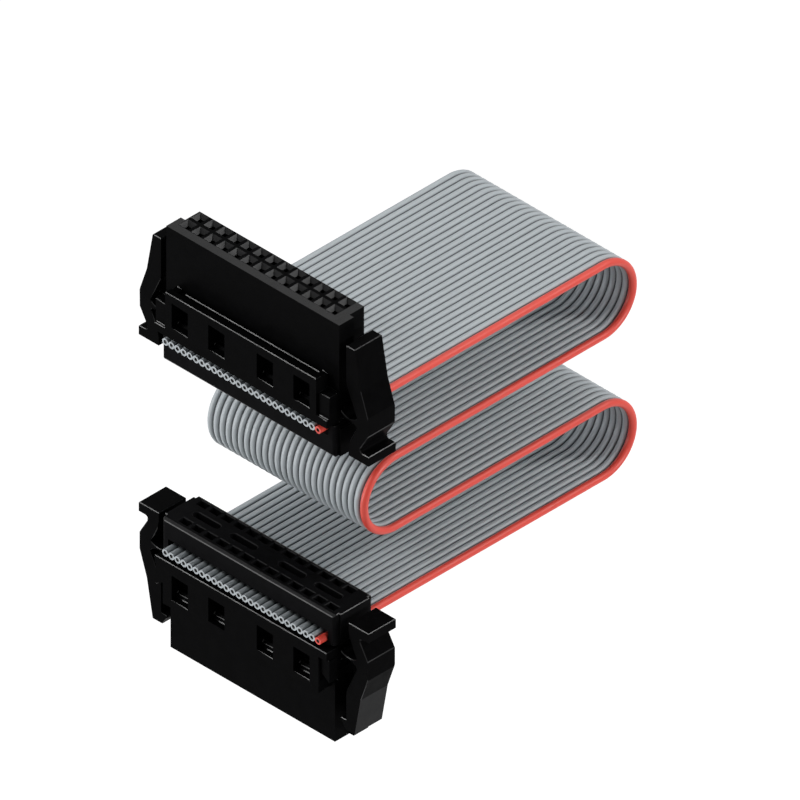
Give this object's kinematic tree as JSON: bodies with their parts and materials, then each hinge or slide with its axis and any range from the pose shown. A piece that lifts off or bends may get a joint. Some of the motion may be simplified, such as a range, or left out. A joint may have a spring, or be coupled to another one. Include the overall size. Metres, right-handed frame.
{
  "type": "ribbon cable",
  "caption": "Flat ribbon cable folded in an S, with a black latching socket connector on each end and a red edge wire.",
  "frame": {"origin": "centre of the lower connector's mating face", "axes": "X along the connectors, +X towards the red edge wire; +Y along the ribbon's runs, away from its cut ends; +Z from the lower mating face up to the upper one"},
  "size_m": [0.0238, 0.0332, 0.0377],
  "materials": {
    "connector_plastic": "satin",
    "cover_plastic": "satin",
    "latch_plastic": "satin",
    "grey_insulation": "satin",
    "red_insulation": "satin",
    "contact_metal": "plated",
    "tinned_copper": "tinned"
  },
  "bodies": {
    "cable": {"lower_housing": "connector_plastic", "lower_cover": "cover_plastic", "lower_contacts_odd": "contact_metal", "lower_contacts_even": "contact_metal", "upper_housing": "connector_plastic", "upper_cover": "cover_plastic", "upper_contacts_odd": "contact_metal", "upper_contacts_even": "contact_metal", "ribbon_insulation": "grey_insulation", "marked_wire": "red_insulation", "conductors": "tinned_copper"},
    "lower_latch_left": {"lower_latch_left": "latch_plastic"},
    "lower_latch_right": {"lower_latch_right": "latch_plastic"},
    "upper_latch_left": {"upper_latch_left": "latch_plastic"},
    "upper_latch_right": {"upper_latch_right": "latch_plastic"}
  },
  "joints": [
    {"name": "lower_latch_left_press", "type": "hinge", "parent": "cable", "child": "lower_latch_left", "pos_m": [-0.00861, 0, 0.008], "axis": [0, 1, 0], "range_deg": [0, 9], "stiffness_Nm_per_rad": 0.035},
    {"name": "lower_latch_right_press", "type": "hinge", "parent": "cable", "child": "lower_latch_right", "pos_m": [0.00861, 0, 0.008], "axis": [0, -1, 0], "range_deg": [0, 9], "stiffness_Nm_per_rad": 0.035},
    {"name": "upper_latch_left_press", "type": "hinge", "parent": "cable", "child": "upper_latch_left", "pos_m": [-0.00861, 0, 0.02969], "axis": [0, -1, 0], "range_deg": [0, 9], "stiffness_Nm_per_rad": 0.035},
    {"name": "upper_latch_right_press", "type": "hinge", "parent": "cable", "child": "upper_latch_right", "pos_m": [0.00861, 0, 0.02969], "axis": [0, 1, 0], "range_deg": [0, 9], "stiffness_Nm_per_rad": 0.035}
  ]
}
